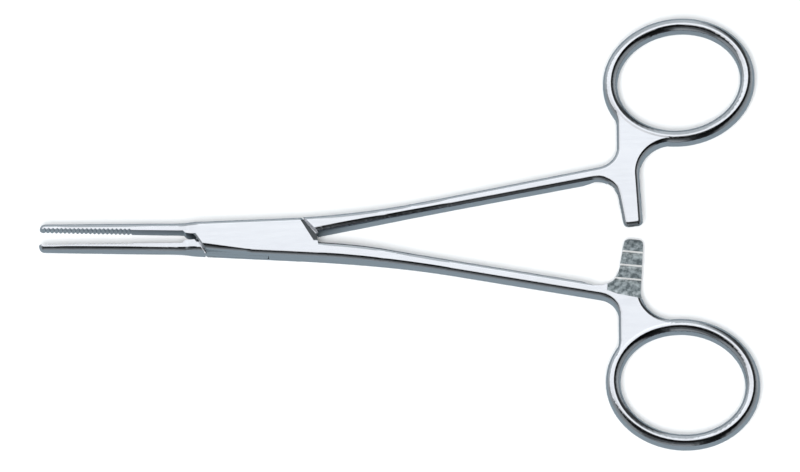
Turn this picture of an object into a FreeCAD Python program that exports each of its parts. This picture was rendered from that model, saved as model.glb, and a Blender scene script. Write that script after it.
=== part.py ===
"""Straight haemostatic forceps with a box lock, toothed ratchets and finger rings.

Millimetres, +Z up.  The forceps lies on its side: the origin is on the axis of the
hinge pin, in the plane that it rests on, and +X runs from the hinge to the rings.
The jaws stand a little open, just before the first teeth of the ratchets meet.
The slotted half has the +Y jaw and the -Y ring, and the tongued half, which passes
through its slot, has the -Y jaw and the +Y ring.
"""
import FreeCAD, Part
import math
import os

import Sketcher

V = FreeCAD.Vector

SIZES = {
    # jaws, measured from the axis of the hinge
    "jaw_length": 42.0,
    "jaw_opening": 4.34,
    "jaw_face_end": 14.0,
    "jaw_root_gap": 0.75,
    "jaw_step": 0.5,
    "jaw_tip_width": 1.15,
    "jaw_tip_thickness": 2.3,
    "jaw_root_thickness": 3.0,
    "jaw_root_end": 15.0,
    "jaw_blend_end": 11.0,
    "jaw_tip_round": 1.0,
    "groove_pitch": 0.826,
    "groove_depth": 0.28,
    "groove_angle": 100.0,
    "groove_count": 21,
    "groove_start": 1.0,
    # box lock
    "box_half_width": 3.57,
    "box_flare": 2.65,
    "box_thickness": 4.4,
    "box_corner": 0.35,
    "cheek_reach": 9.35,
    "cheek_front_angle": 35.2,
    "cheek_back_angle": 40.3,
    "crotch_x": 12.3,
    "crotch_y": 1.05,
    "tongued_crotch_x": 11.8,
    "tongue_reach": 4.39,
    "tongue_slant": 26.9,
    "tongue_thickness": 1.6,
    "tongue_root": 0.78,
    "slot_gap": 0.05,
    "lock_gap": 0.12,
    "slot_back_y": -0.15,
    "pin_diameter": 3.0,
    "pin_gap": 0.04,
    # shanks, before the lean of the handles
    "slotted_bend_x": 24.6,
    "slotted_bend": 250.0,
    "slotted_inner_x": 20.5,
    "slotted_inner_y": 1.45,
    "slotted_inner_bend": 120.0,
    "tongued_bend_x": 17.95,
    "tongued_bend": 150.0,
    "jaw_bend": 150.0,
    "shank_rise": 0.1915,
    "shank_width": 2.6,
    "shank_thickness": 3.3,
    "blend_start": 12.5,
    "blend_end": 38.0,
    "handle_lean": 1.25,
    "edge_round": 0.85,
    # finger rings
    "ring_x": 82.36,
    "ring_y": 31.05,
    "ring_length": 26.8,
    "ring_width": 23.3,
    "ring_turn": 9.0,
    "ring_wire": 2.8,
    "ring_thickness": 3.4,
    "ring_round": 1.25,
    "ring_core_inside": 0.15,
    "ring_core_outside": 1.18,
    "neck_x": 70.2,
    "neck_y": 14.0,
    "neck_round": 4.3,
    "web_round": 6.3,
    # ratchet bars
    "bar_left_x": 71.5,
    "bar_right_x": 75.1,
    "bar_end_y": 1.05,
    "bar_tilt": 10.1,
    "bar_back_tilt": 3.3,
    "bar_root_round": 4.2,
    "bar_corner_round": 1.0,
    "bar_gap": 0.05,
    "step_start_x": 62.0,
    "step_start_y": 9.7,
    "step_middle_x": 69.9,
    "step_middle_y": 12.9,
    "step_end_x": 74.4,
    "step_end_y": 13.9,
    "tooth_start": 2.6,
    "tooth_pitch": 2.79,
    "tooth_depth": 0.8,
    "tooth_back": 0.06,
    "tooth_count": 4,
}

HALF_OPENING = "(dims.jaw_opening / 2)"
FLARE = "tan(dims.box_flare)"
LEAN = "dims.handle_lean"
BEYOND = 120.0          # a cut this long passes everything
CLEAR = 16.0            # half the length of the tongue's slot, past both cheeks
OVERLAP = 2.0           # how far a blank or a cut runs past the face that it leaves
END_MARGIN = 1.0        # the side view starts this far in front of the jaw tips
STUB_WIDTH = 1.8        # the shank's blank ends in a stub inside the ring's outline
STUB_SHORT = 5.0        # ... which stops this far before the ring's centre line
BAR_SHORT = 9.0         # the same for the ratchet bar's blank
BAR_INSET = 1.0         # the ratchet bar's blank starts this far inside the neck's wall
BAR_SINK = 1.2          # ... and this far below the shank's outer side
NECK_TO_RING = 8.3      # the neck's wall meets the ring about here before its centre line
WEB_TO_RING = (3.8, 11.0)   # and the bar's back there, past the neck and before the ring
ROOT_TO_NECK = 0.5      # the shank's inner side meets the bar this far before the neck
HALVING_PAST = (6.0, 1.2)   # the halving cut runs this far past the bar at its root
HALVING_TIP = 5.0       # ... and past its end
TOOTH_PAST = 4.4        # how much wider than the bar a tooth's cut is
SHOULDER_IN = 4.0       # the cheeks' shoulders run this far inwards of their middle
SHOULDER_FRONT = 9.0    # ... and this far outwards at the jaws
SHOULDER_BACK = 10.0    # ... and at the shanks

doc = FreeCAD.newDocument("forceps")
sheet = doc.addObject("Spreadsheet::Sheet", "dims")
for row, (alias, value) in enumerate(SIZES.items(), start=1):
    sheet.set(f"A{row}", alias)
    sheet.set(f"B{row}", str(value))
    sheet.setAlias(f"B{row}", alias)
doc.recompute()


def value_of(expression):
    """The number that an expression over the sheet gives now."""
    result = sheet.evalExpression(str(expression))
    return float(getattr(result, "Value", result))


def turned(point, angle):
    x, y = point
    return (f"({x}) * cos({angle}) - ({y}) * sin({angle})",
            f"({x}) * sin({angle}) + ({y}) * cos({angle})")


def on_side(point, side):
    """The point itself, or its mirror image across the X axis."""
    x, y = point
    return (x, y) if side > 0 else (x, f"-({y})")


def handle_point(point, side):
    return turned(on_side(point, side), LEAN)


def polar_line(reach, angle, along):
    """A point on the line whose nearest point to the hinge is at reach and angle."""
    return (f"{reach} * cos({angle}) - ({along}) * sin({angle})",
            f"{reach} * sin({angle}) + ({along}) * cos({angle})")


def new_sketch(body, name, plane, offset=None, turn_axis=V(0, 0, 1)):
    """A sketch on one of the body's origin planes, placed there by expressions."""
    sketch = body.newObject("Sketcher::SketchObject", name)
    support = next(f for f in body.Origin.OriginFeatures if f.Role == plane)
    sketch.AttachmentSupport = [(support, "")]
    sketch.MapMode = "FlatFace"
    sketch.AttachmentOffset = FreeCAD.Placement(V(), FreeCAD.Rotation(turn_axis, 0))
    for path, expression in (offset or {}).items():
        sketch.setExpression("AttachmentOffset." + path, expression)
    return sketch


def hold(sketch, index, position, point):
    """Fixes a point of the sketch at x and y expressions from the origin."""
    for kind, expression in zip(("DistanceX", "DistanceY"), point):
        number = sketch.addConstraint(
            Sketcher.Constraint(kind, -1, 1, index, position, value_of(expression)))
        sketch.setExpression(f"Constraints[{number}]", str(expression))


def end_at(sketch, index, corner):
    near = sketch.getPoint(index, 1).distanceToPoint(corner) < 1e-6
    return 1 if near else 2


def corner_round(before, corner, after, radius):
    """Where an arc of this radius leaves and joins the two sides of a corner."""
    back = (before - corner).normalize()
    ahead = (after - corner).normalize()
    reach = radius / math.tan(back.getAngle(ahead) / 2)
    middle = (back + ahead).normalize()
    centre = corner + middle * math.hypot(radius, reach)
    return corner + back * reach, centre - middle * radius, corner + ahead * reach


def add_outline(sketch, points, arcs=None, rounds=None):
    """A closed outline through points given as x, y expressions.

    arcs maps an edge's number to (radius, side): side 1 bulges left of its direction.
    rounds maps a point's number to the radius of the arc that rounds that corner."""
    arcs = arcs or {}
    rounds = rounds or {}
    corners = [V(value_of(x), value_of(y), 0) for x, y in points]
    count = len(corners)
    leave, join, bends = list(corners), list(corners), {}
    for i, radius in rounds.items():
        join[i], bends[i], leave[i] = corner_round(
            corners[i - 1], corners[i], corners[(i + 1) % count], value_of(radius))
    edges = []
    for i in range(count):
        start, end = leave[i], join[(i + 1) % count]
        if i in arcs:
            radius, side = value_of(arcs[i][0]), arcs[i][1]
            chord = end - start
            rise = radius - math.sqrt(radius ** 2 - chord.Length ** 2 / 4)
            left = V(-chord.y, chord.x, 0).normalize()
            shape = Part.Arc(start, start + chord * 0.5 + left * rise * side, end)
        else:
            shape = Part.LineSegment(start, end)
        edges.append(sketch.addGeometry(shape, False))
    for i, (point, corner) in enumerate(zip(points, corners)):
        before, after = edges[i - 1], edges[i]
        if i not in rounds:
            sketch.addConstraint(Sketcher.Constraint(
                "Coincident", before, end_at(sketch, before, corner),
                after, end_at(sketch, after, corner)))
            hold(sketch, after, end_at(sketch, after, corner), point)
            continue
        bend = sketch.addGeometry(Part.Arc(join[i], bends[i], leave[i]), False)
        for line, spot in ((before, join[i]), (after, leave[i])):
            sketch.addConstraint(Sketcher.Constraint(
                "Tangent", line, end_at(sketch, line, spot), bend, end_at(sketch, bend, spot)))
        knot = sketch.addGeometry(Part.Point(corner), True)
        hold(sketch, knot, 1, point)
        for line in (before, after):
            sketch.addConstraint(Sketcher.Constraint("PointOnObject", knot, 1, line))
        bound_radius(sketch, bend, rounds[i])
    for i, (radius, side) in arcs.items():
        bound_radius(sketch, edges[i], radius)


def bound_radius(sketch, index, radius):
    number = sketch.addConstraint(Sketcher.Constraint("Radius", index, value_of(radius)))
    sketch.setExpression(f"Constraints[{number}]", radius)


def add_ellipse(sketch, centre, length, width, angle):
    if value_of(length) < value_of(width):
        length, width, angle = width, length, f"({angle} + 90)"
    middle = V(value_of(centre[0]), value_of(centre[1]), 0)
    turn = math.radians(value_of(angle))
    long_half, short_half = value_of(length) / 2, value_of(width) / 2
    along = V(math.cos(turn), math.sin(turn), 0)
    across = V(-math.sin(turn), math.cos(turn), 0)
    index = sketch.addGeometry(
        Part.Ellipse(middle + along * long_half, middle + across * short_half, middle), False)
    sketch.exposeInternalGeometry(index)
    hold(sketch, index, 3, centre)
    for line, size in ((index + 1, length), (index + 2, width)):
        number = sketch.addConstraint(Sketcher.Constraint("Distance", line, value_of(size)))
        sketch.setExpression(f"Constraints[{number}]", size)
    number = sketch.addConstraint(
        Sketcher.Constraint("Angle", -1, 1, index + 1, 1, line_angle(sketch, index + 1)))
    shift = round(math.degrees(line_angle(sketch, index + 1)) - value_of(angle))
    sketch.setExpression(f"Constraints[{number}]", f"({angle} + {shift}) * 1 deg")


def line_angle(sketch, index):
    span = sketch.getPoint(index, 2) - sketch.getPoint(index, 1)
    return math.atan2(span.y, span.x)


def add_pad(body, name, sketch, length):
    pad = body.newObject("PartDesign::Pad", name)
    pad.Profile = sketch
    pad.SideType = "Symmetric"
    pad.setExpression("Length", length)
    doc.recompute()
    return pad


def add_pocket(body, name, sketch, length, symmetric=True, reverse=False):
    """A pocket that has to take material away."""
    before = body.Shape.Volume
    pocket = body.newObject("PartDesign::Pocket", name)
    pocket.Profile = sketch
    pocket.SideType = "Symmetric" if symmetric else "One side"
    pocket.Reversed = reverse
    pocket.setExpression("Length", str(length))
    doc.recompute()
    if not body.Shape.Volume < before - 1e-3:
        raise RuntimeError(f"{name} cuts nothing")
    return pocket


def add_fillet(body, name, radius, edges):
    fillet = body.newObject("PartDesign::Fillet", name)
    fillet.Base = (body.Tip if body.Tip != fillet else fillet.BaseFeature, edges)
    fillet.setExpression("Radius", radius)
    doc.recompute()
    if "Invalid" in fillet.State or not fillet.Shape.isValid():
        raise RuntimeError(f"{name} failed on {edges}")
    return fillet


def upright_edges(shape, points):
    """The names of the vertical edges nearest to the given plan points."""
    uprights = []
    for number, edge in enumerate(shape.Edges, start=1):
        box = edge.BoundBox
        if box.ZLength > 0.2 and box.XLength < 1e-4 and box.YLength < 1e-4:
            uprights.append((number, V(box.XMin, box.YMin, 0)))
    names = []
    for x, y in points:
        target = V(value_of(x), value_of(y), 0)
        number = min(uprights, key=lambda item: item[1].distanceToPoint(target))[0]
        names.append(f"Edge{number}")
    return names


def rim_edges(shape, sharp):
    """Edges where a wall meets the top or bottom, apart from those along sharp lines."""
    lowest = value_of("dims.tongue_thickness")
    names = []
    for number, edge in enumerate(shape.Edges, start=1):
        if edge.Degenerated or edge.Length < 1e-4:
            continue
        middle = edge.valueAt(edge.getParameterByLength(edge.Length / 2))
        tilts = []
        for face in shape.ancestorsOfType(edge, Part.Face):
            u, v = face.Surface.parameter(middle)
            tilts.append(abs(face.normalAt(u, v).z))
        if len(tilts) != 2 or min(tilts) > 0.05 or max(tilts) < 0.5:
            continue
        if abs(middle.z) * 2 < lowest + 0.1:
            continue
        plan = V(middle.x, middle.y, 0)
        if any(Part.makeLine(a, b).distToShape(Part.Vertex(plan))[0] < 0.01 for a, b in sharp):
            continue
        names.append(f"Edge{number}")
    return names


def plan_lines(points):
    """Consecutive plan points as pairs of vectors."""
    spots = [V(value_of(x), value_of(y), 0) for x, y in points]
    return list(zip(spots, spots[1:]))


def box_side(x):
    return f"(dims.box_half_width + {FLARE} * ({x}))"


TIP_IN = (f"-dims.jaw_length * cos({HALF_OPENING})", f"dims.jaw_length * sin({HALF_OPENING})")
TIP_OUT = (TIP_IN[0], f"{TIP_IN[1]} + dims.jaw_tip_width")
FACE_END_Y = f"(dims.jaw_root_gap + dims.jaw_face_end * tan({HALF_OPENING}))"
FACE_END = ("-dims.jaw_face_end", FACE_END_Y)
ROOT_STEP = ("-dims.jaw_face_end + dims.jaw_step", f"{FACE_END_Y} - dims.jaw_step")
ROOT_OUT = ("-dims.jaw_face_end", box_side("-dims.jaw_face_end"))


def handle_outline(side):
    """The straight sides of the shank and the stub inside the ring that ends them."""
    stub_x = f"(dims.neck_x + {STUB_WIDTH})"
    stub_y = f"dims.neck_y + dims.shank_rise * ({stub_x} - dims.neck_x) - dims.shank_width"
    inside_ring = f"dims.ring_y - {STUB_SHORT}"
    points = [
        ("dims.neck_x", "dims.neck_y"),
        ("dims.neck_x", inside_ring),
        (stub_x, inside_ring),
        (stub_x, stub_y),
    ]
    return [handle_point(p, side) for p in points]


def slotted_outline():
    front, back = "dims.cheek_front_angle", "dims.cheek_back_angle"
    reach, half = "dims.cheek_reach", "dims.box_half_width"
    corner = (f"-({reach} + sin({front}) * dims.box_corner) / cos({front})", "dims.box_corner")
    front_x = f"(({reach} - sin({front}) * {half}) / (sin({front}) * {FLARE} - cos({front})))"
    back_x = f"(({reach} - sin({back}) * {half}) / (sin({back}) * {FLARE} + cos({back})))"
    back_foot_y = "dims.box_corner / 3"
    back_foot = (f"({reach} - sin({back}) * {back_foot_y}) / cos({back})", back_foot_y)
    start = [TIP_IN, FACE_END, ROOT_STEP, corner, (front_x, f"-{box_side(front_x)}")]
    outer_bend = ("dims.slotted_bend_x", f"-{box_side('dims.slotted_bend_x')}")
    inner_bend = ("dims.slotted_inner_x", "-dims.slotted_inner_y")
    crotch = ("dims.crotch_x", "-dims.crotch_y")
    back_top = (back_x, box_side(back_x))
    points = start + [outer_bend] + handle_outline(-1)
    points += [inner_bend, crotch, back_foot, back_top, ROOT_OUT, TIP_OUT]
    rounds = {
        points.index(outer_bend): "dims.slotted_bend",
        points.index(inner_bend): "dims.slotted_inner_bend",
        points.index(ROOT_OUT): "dims.jaw_bend",
    }
    return points, rounds, plan_lines(start) + plan_lines([crotch, back_foot, back_top])


def tongued_outline():
    slant = f"(dims.tongue_slant + {HALF_OPENING})"
    reach, half = "dims.tongue_reach", "dims.box_half_width"
    root_x = f"({reach} + dims.tongue_root * cos({slant})) / sin({slant})"
    top_x = f"(({half} * cos({slant}) - {reach}) / (sin({slant}) - {FLARE} * cos({slant})))"
    low_x = f"(({reach} - {half} * cos({slant})) / (sin({slant}) + {FLARE} * cos({slant})))"
    start = [on_side(p, -1) for p in (TIP_IN, FACE_END, ROOT_STEP)]
    start += [(f"-({root_x})", "-dims.tongue_root"), (top_x, box_side(top_x))]
    outer_bend = ("dims.tongued_bend_x", box_side("dims.tongued_bend_x"))
    crotch = ("dims.tongued_crotch_x", "dims.crotch_y")
    root, low = (root_x, "dims.tongue_root"), (low_x, f"-{box_side(low_x)}")
    jaw_bend, tip_out = on_side(ROOT_OUT, -1), on_side(TIP_OUT, -1)
    points = start + [outer_bend] + handle_outline(1) + [crotch, root, low, jaw_bend, tip_out]
    rounds = {
        points.index(outer_bend): "dims.tongued_bend",
        points.index(jaw_bend): "dims.jaw_bend",
    }
    return points, rounds, plan_lines(start) + plan_lines([crotch, root, low])


def add_blank(body, outline, rounds, side):
    """The half's plan at full depth, with its ring, neck, web and ratchet bar."""
    plan = new_sketch(body, body.Name + "_plan", "XY_Plane")
    add_outline(plan, outline, rounds=rounds)
    add_pad(body, body.Name + "_bar", plan, f"dims.box_thickness + {OVERLAP}")
    ring = new_sketch(body, body.Name + "_ring_plan", "XY_Plane")
    centre = handle_point(("dims.ring_x", "dims.ring_y"), side)
    angle = f"({LEAN} + {side} * dims.ring_turn)"
    add_ellipse(ring, centre, "dims.ring_length + 2 * dims.ring_core_outside",
                "dims.ring_width + 2 * dims.ring_core_outside", angle)
    add_pad(body, body.Name + "_ring", ring, f"dims.box_thickness + {OVERLAP}")
    ratchet = new_sketch(body, body.Name + "_ratchet_plan", "XY_Plane")
    add_outline(ratchet, [handle_point(p, side) for p in ratchet_corners()])
    add_pad(body, body.Name + "_ratchet", ratchet, f"dims.box_thickness + {OVERLAP}")


def ratchet_corners():
    width = "(dims.bar_right_x - dims.bar_left_x)"
    square = f"{width} * tan((dims.bar_tilt + dims.bar_back_tilt) / 2) / 2"
    left, right = "dims.bar_left_x", "dims.bar_right_x"
    root_y = f"(dims.neck_y - {BAR_SINK})"
    top_y = f"(dims.ring_y - {BAR_SHORT})"
    return [
        (left, f"dims.bar_end_y - {square}"),
        (right, f"dims.bar_end_y + {square}"),
        (f"{right} - ({top_y} - dims.bar_end_y) * tan(dims.bar_back_tilt)", top_y),
        (f"dims.neck_x + {BAR_INSET}", top_y),
        (f"{left} - ({root_y} - dims.bar_end_y) * tan(dims.bar_tilt)", root_y),
    ]


def round_plan(body, side):
    corners = [handle_point(p, side) for p in ratchet_corners()]
    neck = [("dims.neck_x", "dims.neck_y"), ("dims.neck_x", f"dims.ring_y - {NECK_TO_RING}")]
    web = (f"dims.neck_x + {WEB_TO_RING[0]}", f"dims.ring_y - {WEB_TO_RING[1]}")
    root = (f"dims.neck_x - {ROOT_TO_NECK}", "dims.neck_y - dims.shank_width")
    add_fillet(body, body.Name + "_neck_rounds", "dims.neck_round",
               upright_edges(body.Shape, [handle_point(p, side) for p in neck]))
    add_fillet(body, body.Name + "_web_round", "dims.web_round",
               upright_edges(body.Shape, [handle_point(web, side)]))
    add_fillet(body, body.Name + "_bar_root_round", "dims.bar_root_round",
               upright_edges(body.Shape, [handle_point(root, side)]))
    add_fillet(body, body.Name + "_bar_corner_rounds", "dims.bar_corner_round",
               upright_edges(body.Shape, corners[:2]))
    add_fillet(body, body.Name + "_tip_round", "dims.jaw_tip_round",
               upright_edges(body.Shape, [on_side(TIP_OUT, -side)]))


def shape_thickness(body):
    """Cuts the blank down to the side view: thin jaws, a thick box, flat handles."""
    tip, root = "dims.jaw_tip_thickness / 2", "dims.jaw_root_thickness / 2"
    box, shank = "dims.box_thickness / 2", "dims.shank_thickness / 2"
    jaw_run = f"(dims.jaw_length + {END_MARGIN} - dims.jaw_root_end)"
    jaw_drop = f"({root} - {tip})"
    half_climb = f"(({root} + {box}) / 2)"
    climb_run = "(dims.jaw_root_end - dims.jaw_blend_end)"
    climb_rise = f"({box} - {root})"
    fall_run = "(dims.blend_end - dims.blend_start)"
    fall_drop = f"({box} - {shank})"
    points = [
        (f"-dims.jaw_length - {END_MARGIN}", "dims.box_thickness"),
        (f"-dims.jaw_length - {END_MARGIN}", tip),
        ("-dims.jaw_root_end", root),
        ("-(dims.jaw_root_end + dims.jaw_blend_end) / 2", half_climb),
        ("-dims.jaw_blend_end", box),
        ("dims.blend_start", box),
        ("(dims.blend_start + dims.blend_end) / 2", f"({box} + {shank}) / 2"),
        ("dims.blend_end", shank),
        (BEYOND, shank),
        (BEYOND, "dims.box_thickness"),
    ]
    climb_radius = f"({climb_run} ^ 2 + {climb_rise} ^ 2) / (4 * {climb_rise})"
    fall_radius = f"({fall_run} ^ 2 + {fall_drop} ^ 2) / (4 * {fall_drop})"
    arcs = {
        1: (f"({jaw_run} ^ 2 + {jaw_drop} ^ 2) / (2 * {jaw_drop})", 1),
        2: (climb_radius, -1),
        3: (climb_radius, 1),
        5: (fall_radius, 1),
        6: (fall_radius, -1),
    }
    view = new_sketch(body, body.Name + "_side_view", "XZ_Plane")
    add_outline(view, points, arcs)
    low = [on_side(p, -1) for p in points]
    add_outline(view, low, {i: (radius, -side) for i, (radius, side) in arcs.items()})
    add_pocket(body, body.Name + "_thickness", view, BEYOND)


def build_wire(name, side):
    """The rounded wire of a finger ring, which the half's neck and web run into."""
    wire = doc.addObject("PartDesign::Body", name)
    plan = new_sketch(wire, name + "_plan", "XY_Plane")
    centre = handle_point(("dims.ring_x", "dims.ring_y"), side)
    angle = f"({LEAN} + {side} * dims.ring_turn)"
    for sign in ("+", "-"):
        add_ellipse(plan, centre, f"dims.ring_length {sign} dims.ring_wire",
                    f"dims.ring_width {sign} dims.ring_wire", angle)
    add_pad(wire, name + "_band", plan, "dims.ring_thickness")
    add_fillet(wire, name + "_round", "dims.ring_round", rim_edges(wire.Shape, []))
    return wire


def add_ring_wire(body, side):
    """Opens the core of the finger ring and joins the rounded wire to it."""
    hole = new_sketch(body, body.Name + "_finger_plan", "XY_Plane")
    add_ellipse(hole, handle_point(("dims.ring_x", "dims.ring_y"), side),
                "dims.ring_length + 2 * dims.ring_core_inside",
                "dims.ring_width + 2 * dims.ring_core_inside",
                f"({LEAN} + {side} * dims.ring_turn)")
    add_pocket(body, body.Name + "_finger_hole", hole, f"dims.box_thickness + 2 * {OVERLAP}")
    wire = build_wire(body.Name + "_wire", side)
    before = body.Shape.Volume
    joined = body.newObject("PartDesign::Boolean", body.Name + "_ring_joint")
    joined.Type = "Fuse"
    joined.setObjects([wire])
    doc.recompute()
    if not body.Shape.Volume > before:
        raise RuntimeError(f"{joined.Name} adds nothing")


def cut_slot(body):
    """The slot that the tongue passes through, opened at both ends for the tongue's roots."""
    angle = f"(dims.tongue_slant - {HALF_OPENING})"
    reach = "(dims.tongue_reach + dims.lock_gap)"
    front_y, back_y = "dims.box_corner", "dims.slot_back_y"
    corners = [
        polar_line(reach, f"(90 + {angle})", -CLEAR),
        (f"({front_y} * cos({angle}) - {reach}) / sin({angle})", front_y),
        (f"-{CLEAR}", front_y),
        polar_line(reach, f"(270 + {angle})", -CLEAR),
        (f"({back_y} * cos({angle}) + {reach}) / sin({angle})", back_y),
        (f"{CLEAR}", back_y),
    ]
    slot = new_sketch(body, body.Name + "_slot_plan", "XY_Plane")
    add_outline(slot, corners)
    add_pocket(body, body.Name + "_slot", slot, "dims.tongue_thickness + 2 * dims.slot_gap")


def cheek_space():
    """The plan of the room for the cheeks, between the two shoulders that they close on."""
    reach = "(dims.cheek_reach + dims.lock_gap)"
    front = "(180 + dims.cheek_front_angle + dims.jaw_opening)"
    back = "(dims.cheek_back_angle + dims.jaw_opening)"
    return [polar_line(reach, front, -SHOULDER_FRONT), polar_line(reach, front, SHOULDER_IN),
            polar_line(reach, back, -SHOULDER_BACK), polar_line(reach, back, SHOULDER_IN)]


def thin_tongue(body):
    """Cuts away both sides of the tongue, which leaves it as thick as the slot allows."""
    for name, side in (("upper", 1), ("lower", -1)):
        plan = new_sketch(body, f"{body.Name}_{name}_cheek_plan", "XY_Plane",
                          {"Base.z": f"{side} * dims.tongue_thickness / 2"})
        add_outline(plan, cheek_space())
        add_pocket(body, f"{body.Name}_{name}_cheek_space", plan, "dims.box_thickness",
                   symmetric=False, reverse=side > 0)


def cut_bore(body, diameter):
    bore = new_sketch(body, body.Name + "_bore_plan", "XY_Plane")
    circle = bore.addGeometry(Part.Circle(V(), V(0, 0, 1), value_of(diameter) / 2), False)
    bore.addConstraint(Sketcher.Constraint("Coincident", circle, 3, -1, 1))
    bound_radius(bore, circle, f"({diameter}) / 2")
    add_pocket(body, body.Name + "_bore", bore, f"dims.box_thickness + {OVERLAP}")


def halve_ratchet(body, side):
    """Leaves the half of the bar's thickness that passes over or under the other bar."""
    past_x, past_y = HALVING_PAST
    corners = [
        ("dims.step_start_x", "dims.step_start_y"),
        ("dims.step_middle_x", "dims.step_middle_y"),
        ("dims.step_end_x", "dims.step_end_y"),
        (f"dims.step_end_x + {past_x}", f"dims.step_end_y + {past_y}"),
        (f"dims.step_end_x + {past_x}", f"dims.bar_end_y - {HALVING_TIP}"),
        ("dims.step_start_x", f"dims.bar_end_y - {HALVING_TIP}"),
    ]
    plan = new_sketch(body, body.Name + "_half_bar_plan", "XY_Plane",
                      {"Base.z": f"{side} * dims.bar_gap"})
    add_outline(plan, [handle_point(p, side) for p in corners])
    add_pocket(body, body.Name + "_half_bar", plan, "dims.box_thickness",
               symmetric=False, reverse=side < 0)


def cut_teeth(body, side):
    """Hooked teeth whose steep faces look back at the shank that carries them."""
    middle = ("(dims.bar_left_x + dims.bar_right_x) / 2", "dims.bar_end_y")
    x, y = handle_point(middle, side)
    offset = {
        "Base.x": y,
        "Base.y": f"{side} * dims.bar_gap",
        "Base.z": x,
        "Rotation.Angle": f"{LEAN} + {side} * (dims.bar_tilt + dims.bar_back_tilt) / 2",
    }
    tooth = new_sketch(body, body.Name + "_tooth_plan", "YZ_Plane", offset, V(0, 1, 0))
    start = "(dims.tooth_start - dims.tooth_pitch)"
    corners = [(start, "0"), (f"{start} + dims.tooth_back", "dims.tooth_depth"),
               ("dims.tooth_start", "0")]
    add_outline(tooth, [(f"{side} * ({along})", f"{side} * {deep}") for along, deep in corners])
    cut = add_pocket(body, body.Name + "_tooth", tooth,
                     f"dims.bar_right_x - dims.bar_left_x + {TOOTH_PAST}")
    repeat_cut(body, cut, tooth, "tooth", side < 0)


def cut_grooves(body, side):
    """Cross serrations along the outer part of the jaw's face."""
    tip, end = on_side(TIP_IN, -side), on_side(FACE_END, -side)
    slope = f"atan(({end[1]} - ({tip[1]})) / ({end[0]} - ({tip[0]})))"
    offset = {"Base.x": tip[0], "Base.y": tip[1], "Rotation.Angle": slope}
    groove = new_sketch(body, body.Name + "_groove_plan", "XY_Plane", offset)
    start = "dims.groove_start" if side < 0 else "(dims.groove_start + dims.groove_pitch / 2)"
    half = "(dims.groove_depth + dims.slot_gap) * tan(dims.groove_angle / 2)"
    corners = [(f"{start} - {half}", "-dims.slot_gap"), (start, "dims.groove_depth"),
               (f"{start} + {half}", "-dims.slot_gap")]
    add_outline(groove, [on_side(corner, -side) for corner in corners])
    cut = add_pocket(body, body.Name + "_groove", groove, "dims.box_thickness")
    repeat_cut(body, cut, groove, "groove", False)


def repeat_cut(body, cut, sketch, kind, backwards):
    """Repeats a cut at its pitch along its sketch's horizontal axis."""
    pattern = body.newObject("PartDesign::LinearPattern", f"{body.Name}_{kind}_row")
    pattern.Originals = [cut]
    pattern.Direction = (sketch, ["H_Axis"])
    pattern.Reversed = backwards
    pattern.setExpression("Occurrences", f"dims.{kind}_count")
    pattern.setExpression("Length", f"dims.{kind}_pitch * (dims.{kind}_count - 1)")
    body.Tip = pattern
    before = body.Shape.Volume
    doc.recompute()
    if not body.Shape.Volume < before:
        raise RuntimeError(f"{pattern.Name} cuts nothing")


def build_half(name, outline, side):
    points, rounds, sharp = outline
    body = doc.addObject("PartDesign::Body", name)
    body.Label = name
    add_blank(body, points, rounds, side)
    round_plan(body, side)
    shape_thickness(body)
    if side > 0:
        thin_tongue(body)
        space = cheek_space()
        sharp = sharp + plan_lines(space[:2]) + plan_lines(space[2:])
    add_fillet(body, name + "_long_edges", "dims.edge_round", rim_edges(body.Shape, sharp))
    add_ring_wire(body, side)
    if side < 0:
        cut_slot(body)
        cut_bore(body, "dims.pin_diameter")
    else:
        cut_bore(body, "dims.pin_diameter + 2 * dims.pin_gap")
    halve_ratchet(body, side)
    cut_teeth(body, side)
    cut_grooves(body, side)
    body.setExpression("Placement.Base.z", "dims.box_thickness / 2")
    return body


def build_pin():
    pin = doc.addObject("Part::Cylinder", "hinge_pin")
    pin.Label = "hinge_pin"
    pin.setExpression("Radius", "dims.pin_diameter / 2")
    pin.setExpression("Height", "dims.box_thickness")
    return pin


def check_document():
    for item in doc.Objects:
        if "Invalid" in item.State or "Error" in item.State:
            raise RuntimeError(f"{item.Name} is {item.State}")


if __name__ == "__main__":
    os.makedirs("parts", exist_ok=True)
    pieces = [
        build_half("slotted_half", slotted_outline(), -1),
        build_half("tongued_half", tongued_outline(), 1),
        build_pin(),
    ]
    doc.recompute()
    check_document()
    for piece in pieces:
        shape = piece.Shape
        if shape.isNull() or not shape.isValid() or len(shape.Solids) != 1:
            raise RuntimeError(f"{piece.Label} is not one valid solid")
        shape.exportStep(f"parts/{piece.Label}.step")
        print(piece.Label, round(shape.Volume, 1), shape.BoundBox)
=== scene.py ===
import math

import bpy
from mathutils import Matrix, Vector

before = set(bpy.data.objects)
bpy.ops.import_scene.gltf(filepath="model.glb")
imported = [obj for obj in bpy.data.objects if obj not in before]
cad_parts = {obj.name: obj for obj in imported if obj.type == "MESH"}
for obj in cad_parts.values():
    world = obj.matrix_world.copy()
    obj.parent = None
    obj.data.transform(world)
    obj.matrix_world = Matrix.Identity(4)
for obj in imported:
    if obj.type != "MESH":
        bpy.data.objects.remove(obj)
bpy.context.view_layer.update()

print("frame loaded")

# Camera: a long lens nearly overhead, tipped towards the near side of the tray
cameraSettings = {
    "target": (0.02805, 0.00084, 0.0022),
    "distance": 1.29,
    "tipToFront": 20.0,   # degrees off the vertical, towards -Y
    "tipToRings": 3.5,    # degrees off the vertical, towards +X
    "roll": 0.2,          # degrees
    "lens": 300.0,        # millimetres, as is the sensor
    "sensor": 36.0,
    "nearest": 0.05,
    "farthest": 20.0,
}


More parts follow.
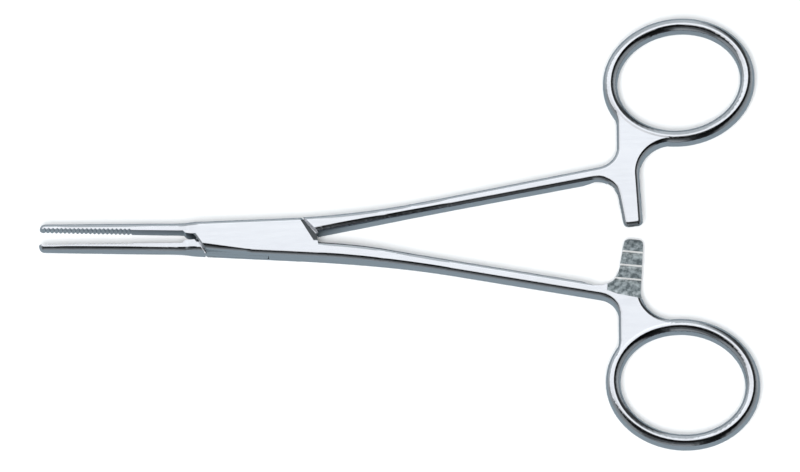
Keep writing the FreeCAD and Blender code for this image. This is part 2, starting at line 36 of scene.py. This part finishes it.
def makeCamera(s):
    back = Vector((math.tan(math.radians(s["tipToRings"])),
                   -math.tan(math.radians(s["tipToFront"])), 1.0)).normalized()
    right = (Vector((1, 0, 0)) - back * back.x).normalized()   # keeps +X level in the picture
    up = back.cross(right)
    roll = Matrix.Rotation(math.radians(s["roll"]), 3, "Z")
    turn = Matrix((right, up, back)).transposed() @ roll
    data = bpy.data.cameras.new("camera")
    data.lens = s["lens"]
    data.sensor_width = s["sensor"]
    data.clip_start = s["nearest"]
    data.clip_end = s["farthest"]
    camera = bpy.data.objects.new("camera", data)
    bpy.context.collection.objects.link(camera)
    camera.rotation_mode = "QUATERNION"
    camera.location = Vector(s["target"]) + back * s["distance"]
    camera.rotation_quaternion = turn.to_quaternion()
    bpy.context.scene.camera = camera


makeCamera(cameraSettings)
print("camera placed")

# Floor: a plain white sheet, and just above it a duller one that only mirrors see, painted shade
# on the floor as the steel reflects it
floorSettings = {
    "size": 6.0,
    "drop": 0.00002,   # metres from the part to the upper sheet, and from that to the lower
    "color": (0.93, 0.94, 0.95, 1.0),
    # painted shade: this dull blue-grey sheet darkens the floor only where the steel reflects it
    "mirroredShadeColor": (0.27, 0.325, 0.355, 1.0),
    "roughness": 0.9,
}


def makeSheet(name, s, drop, color):
    mesh = bpy.data.meshes.new(name)
    half = s["size"] / 2
    mesh.from_pydata([(-half, -half, -drop), (half, -half, -drop),
                      (half, half, -drop), (-half, half, -drop)], [], [(0, 1, 2, 3)])
    sheet = bpy.data.objects.new(name, mesh)
    bpy.context.collection.objects.link(sheet)
    paper = bpy.data.materials.new(name + "Paper")
    paper.use_nodes = True
    shader = paper.node_tree.nodes["Principled BSDF"]
    shader.inputs["Base Color"].default_value = color
    shader.inputs["Roughness"].default_value = s["roughness"]
    shader.inputs["Specular IOR Level"].default_value = 0.0
    mesh.materials.append(paper)
    return sheet


def makeFloor(s):
    floor = makeSheet("floor", s, 2 * s["drop"], s["color"])
    floor.visible_glossy = False
    # a sheet seen only in the steel's reflections, painted darker as shade on the floor there
    mirroredShade = makeSheet("mirroredShade", s, s["drop"], s["mirroredShadeColor"])
    mirroredShade.visible_camera = False
    mirroredShade.visible_diffuse = False
    mirroredShade.visible_shadow = False


makeFloor(floorSettings)
print("floor laid")


# Small helpers for node trees. A value may be a socket to link or a plain value to set
def addNode(tree, kind, **values):
    node = tree.nodes.new(kind)
    for name, value in values.items():
        setattr(node, name, value)
    return node


def setInputs(node, **values):
    for name, value in values.items():
        node.inputs[name].default_value = value


def feed(tree, slot, value):
    if isinstance(value, bpy.types.NodeSocket):
        tree.links.new(value, slot)
    else:
        slot.default_value = value


def addMath(tree, operation, first, second, kind="ShaderNodeMath"):
    node = addNode(tree, kind, operation=operation)
    feed(tree, node.inputs[0], first)
    feed(tree, node.inputs[1], second)
    return node.outputs[0]


def addSplit(tree, vector):
    node = addNode(tree, "ShaderNodeSeparateXYZ")
    tree.links.new(vector, node.inputs[0])
    return node.outputs


def addRange(tree, value, low, high, newLow=0.0, newHigh=1.0):
    node = addNode(tree, "ShaderNodeMapRange")
    setInputs(node, **{"From Min": low, "From Max": high, "To Min": newLow, "To Max": newHigh})
    tree.links.new(value, node.inputs["Value"])
    return node.outputs["Result"]


def addNoise(tree, vector, **values):
    node = addNode(tree, "ShaderNodeTexNoise")
    setInputs(node, **values)
    tree.links.new(vector, node.inputs["Vector"])
    return node


def addMix(tree, mask, first, second, kind="RGBA", blend="MIX"):
    node = addNode(tree, "ShaderNodeMix", data_type=kind, blend_type=blend)
    for name, value in (("Factor", mask), ("A", first), ("B", second)):
        feed(tree, node.inputs[name], value)
    return node.outputs["Result"]


def addGroup(tree, name, vector, **values):
    node = addNode(tree, "ShaderNodeGroup", node_tree=bpy.data.node_groups[name])
    setInputs(node, **values)
    tree.links.new(vector, node.inputs["Vector"])
    return node.outputs


def addBump(tree, height, strength, distance, normal=None):
    node = addNode(tree, "ShaderNodeBump")
    setInputs(node, Strength=strength, Distance=distance)
    tree.links.new(height, node.inputs["Height"])
    if normal:
        tree.links.new(normal, node.inputs["Normal"])
    return node.outputs["Normal"]


def startGroup(name, vectors, floats, results):
    # Gives the group's tree, the sockets that bring its inputs in, and those its results go to
    tree = bpy.data.node_groups.new(name, "ShaderNodeTree")
    for names, way, kind in ((vectors, "INPUT", "NodeSocketVector"),
                             (floats, "INPUT", "NodeSocketFloat"),
                             (results, "OUTPUT", "NodeSocketFloat")):
        for socket in names:
            tree.interface.new_socket(socket, in_out=way, socket_type=kind)
    given = addNode(tree, "NodeGroupInput").outputs
    return tree, given, addNode(tree, "NodeGroupOutput").inputs


# Patterns that the steel is made of, as node groups
patternSettings = {
    "grindFine": {"Scale": 1.0, "Detail": 4.0, "Roughness": 0.65},
    "grindCoarse": {"Scale": 0.23, "Detail": 2.0, "Roughness": 0.5},
    "grindRange": (0.7, 1.3),       # the two noises' sum from the mask's nought to its one
    "smudgeCloud": {"Detail": 3.0, "Roughness": 0.55},
    "smudgeRange": (0.38, 0.68),
    "boxEdge": 0.00012,             # metres of soft edge inside a box mask
}


def grindGroup(s):
    # Fine straight grind marks: short scratches along one direction, as a height and a mask
    tree, given, results = startGroup("grindMarks", ("Vector",), ("Across", "Along"),
                                      ("Height", "Mask"))
    stretch = addNode(tree, "ShaderNodeCombineXYZ")
    for axis, name in (("X", "Across"), ("Y", "Along"), ("Z", "Across")):
        tree.links.new(given[name], stretch.inputs[axis])
    scaled = addMath(tree, "MULTIPLY", given["Vector"], stretch.outputs[0],
                     "ShaderNodeVectorMath")
    fine = addNoise(tree, scaled, **s["grindFine"])
    coarse = addNoise(tree, scaled, **s["grindCoarse"])
    both = addMath(tree, "ADD", fine.outputs[0], coarse.outputs[0])
    tree.links.new(both, results["Height"])
    tree.links.new(addRange(tree, both, *s["grindRange"]), results["Mask"])


def smudgeGroup(s):
    # Broad soft patches where handling has dulled the polish
    tree, given, results = startGroup("handlingSmudge", ("Vector",), ("Scale",), ("Mask",))
    cloud = addNoise(tree, given["Vector"], **s["smudgeCloud"])
    tree.links.new(given["Scale"], cloud.inputs["Scale"])
    tree.links.new(addRange(tree, cloud.outputs[0], *s["smudgeRange"]), results["Mask"])


def boxGroup(s):
    # One inside a box of object space, nought outside it, with a short soft edge
    tree, given, results = startGroup("boxMask", ("Vector", "Middle", "Half"), (), ("Mask",))
    off = addMath(tree, "SUBTRACT", given["Vector"], given["Middle"], "ShaderNodeVectorMath")
    away = addNode(tree, "ShaderNodeVectorMath", operation="ABSOLUTE")
    tree.links.new(off, away.inputs[0])
    room = addSplit(tree, addMath(tree, "SUBTRACT", given["Half"], away.outputs[0],
                                  "ShaderNodeVectorMath"))
    least = addMath(tree, "MINIMUM", room["X"], room["Y"])
    least = addMath(tree, "MINIMUM", least, room["Z"])
    tree.links.new(addRange(tree, least, 0.0, s["boxEdge"]), results["Mask"])


def facetGroup():
    # Height of a hand-ground bevel that falls away past a line in the XY plane of object
    # space, inside a box from Low to High whose sides fade over the length Soft
    tree, given, results = startGroup("groundFacet", ("Vector", "Across", "Low", "High"),
                                      ("Start", "Slope", "Bow", "Soft"), ("Height",))
    along = addNode(tree, "ShaderNodeVectorMath", operation="DOT_PRODUCT")
    tree.links.new(given["Vector"], along.inputs[0])
    tree.links.new(given["Across"], along.inputs[1])
    past = addMath(tree, "SUBTRACT", along.outputs["Value"], given["Start"])
    past = addMath(tree, "MAXIMUM", past, 0.0)
    flat = addMath(tree, "MULTIPLY", past, given["Slope"])
    bowed = addMath(tree, "MULTIPLY", addMath(tree, "MULTIPLY", past, past), given["Bow"])
    fall = addMath(tree, "ADD", flat, bowed)
    for larger, smaller in ((given["Vector"], given["Low"]), (given["High"], given["Vector"])):
        room = addSplit(tree, addMath(tree, "SUBTRACT", larger, smaller, "ShaderNodeVectorMath"))
        for axis in "XYZ":
            edge = addNode(tree, "ShaderNodeClamp")
            tree.links.new(addMath(tree, "DIVIDE", room[axis], given["Soft"]),
                           edge.inputs["Value"])
            fall = addMath(tree, "MULTIPLY", fall, edge.outputs[0])
    tree.links.new(addMath(tree, "MULTIPLY", fall, -1.0), results["Height"])


# Steel: ground with fine marks and then polished to a soft mirror
steelSettings = {
    "color": (0.62, 0.63, 0.66, 1.0),
    "darkColor": (0.58, 0.59, 0.625, 1.0),   # in the grind marks
    "metal": 1.0,
    "roughLow": 0.10,
    "roughHigh": 0.17,
    "grindAcross": 5200.0,   # marks in a metre, across them and along them
    "grindAlong": 420.0,
    "grindTurn": 86.0,       # degrees about Z
    "bumpHeight": 0.00004,
    "bumpStrength": 0.03,
    "smudgeScale": 160.0,
    "ratchetHalf": (0.0036, 0.0063, 0.0007),   # half the box that the milled teeth fill
    "ratchetColor": (0.52, 0.57, 0.59, 1.0),
    "ratchetDark": (0.13, 0.155, 0.165, 1.0),
    "ratchetGrain": 1100.0,
    "ratchetRough": 0.30,
    "ratchetMetal": 0.8,
    "flankHighlightTilt": (0.8, 0.95),   # share of the surface's direction along Y that marks a steep flank for the painted highlight
    # painted highlight: the steep flanks are coloured near-white and made barely metallic
    "flankHighlightColor": (0.97, 0.97, 0.96, 1.0),
    "flankHighlightMetal": 0.05,
}
ratchetPlaces = {   # middle of each half's teeth, and the way their steep flanks face along Y
    "slotted_half": ((0.0718, -0.0056, 0.00172), -1.0),
    "tongued_half": ((0.0718, 0.0056, 0.00268), 1.0),
}
groundFacets = {   # bevels that a grinding wheel left on the cheeks' edges, in metres
    "slotted_half": (
        {"Across": (0.8441, 0.5363, 0.0), "Start": 0.009237, "Slope": 0.62, "Bow": 0.0,
         "Soft": 0.0001, "Low": (0.007, -0.0009, 0.0035), "High": (0.0135, 0.006, 0.006)},
        {"Across": (-0.8171, -0.5764, 0.0), "Start": 0.00905, "Slope": 0.75, "Bow": 0.0,
         "Soft": 0.0001, "Low": (-0.014, -0.005, 0.0035), "High": (-0.003, 0.0005, 0.006)},
        {"Across": (-0.1379, -0.9905, 0.0), "Start": 0.002783, "Slope": 0.10, "Bow": 330.0,
         "Soft": 0.0012, "Low": (-0.02, -0.006, 0.001), "High": (-0.0004, 0.006, 0.006)},
    ),
}


def addRatchet(tree, place, color, rough, s, where):
    # Teeth are left as milled: duller, mottled ramps; the steep flanks get a painted highlight,
    # near-white and barely metallic
    middle, facing = where
    zone = addGroup(tree, "boxMask", place["Object"], Middle=middle, Half=s["ratchetHalf"])
    low, high = s["flankHighlightTilt"]
    steep = addRange(tree, addSplit(tree, place["Normal"])["Y"], low * facing, high * facing)
    # painted highlight on the steep flanks that face along Y inside the ratchet box
    flankHighlight = addMath(tree, "MULTIPLY", steep, zone["Mask"])
    mottle = addGroup(tree, "handlingSmudge", place["Object"], Scale=s["ratchetGrain"])
    milled = addMix(tree, mottle["Mask"], s["ratchetDark"], s["ratchetColor"])
    color = addMix(tree, zone["Mask"], color, milled)
    color = addMix(tree, flankHighlight, color, s["flankHighlightColor"])
    rough = addMix(tree, zone["Mask"], rough, s["ratchetRough"], "FLOAT")
    metal = addMix(tree, zone["Mask"], s["metal"], s["ratchetMetal"], "FLOAT")
    metal = addMix(tree, flankHighlight, metal, s["flankHighlightMetal"], "FLOAT")
    return color, rough, metal


def makeSteel(name, s, ratchet=None, facets=()):
    material = bpy.data.materials.new(name)
    material.use_nodes = True
    tree = material.node_tree
    shader = tree.nodes["Principled BSDF"]
    place = addNode(tree, "ShaderNodeTexCoord").outputs
    turned = addNode(tree, "ShaderNodeMapping")
    turned.inputs["Rotation"].default_value = (0.0, 0.0, math.radians(s["grindTurn"]))
    tree.links.new(place["Object"], turned.inputs["Vector"])
    grind = addGroup(tree, "grindMarks", turned.outputs[0],
                     Across=s["grindAcross"], Along=s["grindAlong"])
    smudge = addGroup(tree, "handlingSmudge", place["Object"], Scale=s["smudgeScale"])

    color = addMix(tree, grind["Mask"], s["color"], s["darkColor"])
    rough = addRange(tree, smudge["Mask"], 0.0, 1.0, s["roughLow"], s["roughHigh"])
    metal = s["metal"]
    if ratchet:
        color, rough, metal = addRatchet(tree, place, color, rough, s, ratchet)
    normal = addBump(tree, grind["Height"], s["bumpStrength"], s["bumpHeight"])
    for facet in facets:   # their heights are in metres already
        shape = addGroup(tree, "groundFacet", place["Object"], **facet)
        normal = addBump(tree, shape["Height"], 1.0, 1.0, normal)
    for slot, value in (("Base Color", color), ("Roughness", rough), ("Metallic", metal),
                        ("Normal", normal)):
        feed(tree, shader.inputs[slot], value)
    return material


grindGroup(patternSettings)
smudgeGroup(patternSettings)
boxGroup(patternSettings)
facetGroup()
for node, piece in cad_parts.items():
    piece.material_slots[0].material = makeSteel(
        node + "Steel", steelSettings, ratchetPlaces.get(node), groundFacets.get(node, ()))
print("steel made")

# Light: a softbox overhead and behind for the steel, a lamp in front for the floor, and a room
lightSettings = {
    "topRadiance": 1.11,
    "topSize": (1.4, 0.82),
    "topPlace": (-0.50, 0.49, 1.15),
    "topColor": (0.98, 0.99, 1.0),
    "floorPower": 40.0,
    "floorSize": (1.1, 1.1),
    "floorPlace": (0.0, -0.75, 1.5),
    "floorAim": (0.03, 0.0, 0.0),
    "floorColor": (1.0, 1.0, 1.0),
}
roomSettings = {   # stops: a place, from 0 at the -Y or -X wall to 1 at the far one, and its grey
    "color": (0.90, 0.97, 1.0, 1.0),
    "strength": 1.0,
    "depth": ((0.0, 0.42), (0.08, 0.34), (0.13, 0.09), (0.19, 0.16), (0.24, 0.14), (0.30, 0.05),
              (0.36, 0.012), (0.46, 0.010), (0.56, 0.03), (0.68, 0.4), (0.82, 0.8), (1.0, 0.8)),
    "width": ((0.0, 0.5), (0.25, 0.8), (0.54, 1.0), (0.62, 0.08), (0.80, 0.08), (1.0, 0.5)),
    "sides": ((0.0, 0.42), (0.09, 0.34), (0.17, 0.24), (0.23, 0.0), (0.77, 0.0), (0.83, 0.24),
              (0.92, 0.34), (1.0, 0.42)),
}


def makeLamp(name, place, aim, size, power, color):
    data = bpy.data.lights.new(name, "AREA")
    data.shape = "RECTANGLE"
    data.size, data.size_y = size
    data.energy = power
    data.color = color
    lamp = bpy.data.objects.new(name, data)
    bpy.context.collection.objects.link(lamp)
    lamp.location = place
    lamp.rotation_mode = "QUATERNION"
    lamp.rotation_quaternion = (Vector(place) - Vector(aim)).to_track_quat("Z", "Y")
    return lamp


def makeLamps(s):
    x, y, z = s["topPlace"]
    power = s["topRadiance"] * math.pi * s["topSize"][0] * s["topSize"][1]
    box = makeLamp("softbox", (x, y, z), (x, y, 0.0), s["topSize"], power, s["topColor"])
    box.visible_diffuse = False   # only the steel sees it
    low = makeLamp("floorLamp", s["floorPlace"], s["floorAim"], s["floorSize"],
                   s["floorPower"], s["floorColor"])
    low.visible_glossy = False    # only the floor sees it


def addRamp(tree, value, stops):
    # Grey levels along one axis of the direction, which runs from -1 to 1
    ramp = addNode(tree, "ShaderNodeValToRGB")
    marks = ramp.color_ramp.elements
    while len(marks) < len(stops):
        marks.new(0.5)
    for mark, (place, level) in zip(marks, stops):
        mark.position = place
        mark.color = (level, level, level, 1.0)
    tree.links.new(addRange(tree, value, -1.0, 1.0), ramp.inputs["Fac"])
    return ramp.outputs["Color"]


def makeRoom(s):
    world = bpy.data.worlds.new("studio")
    bpy.context.scene.world = world
    world.use_nodes = True
    tree = world.node_tree
    back = tree.nodes["Background"]
    direction = addSplit(tree, addNode(tree, "ShaderNodeTexCoord").outputs["Generated"])
    depth = addRamp(tree, direction["Y"], s["depth"])
    width = addRamp(tree, direction["X"], s["width"])
    sides = addRamp(tree, direction["X"], s["sides"])
    light = addMix(tree, 1.0, depth, width, blend="MULTIPLY")
    light = addMix(tree, 1.0, light, sides, blend="ADD")
    light = addMix(tree, 1.0, light, s["color"], blend="MULTIPLY")
    tree.links.new(light, back.inputs["Color"])
    back.inputs["Strength"].default_value = s["strength"]


makeLamps(lightSettings)
makeRoom(roomSettings)
bpy.context.scene.view_settings.view_transform = "Standard"
print("lights set")
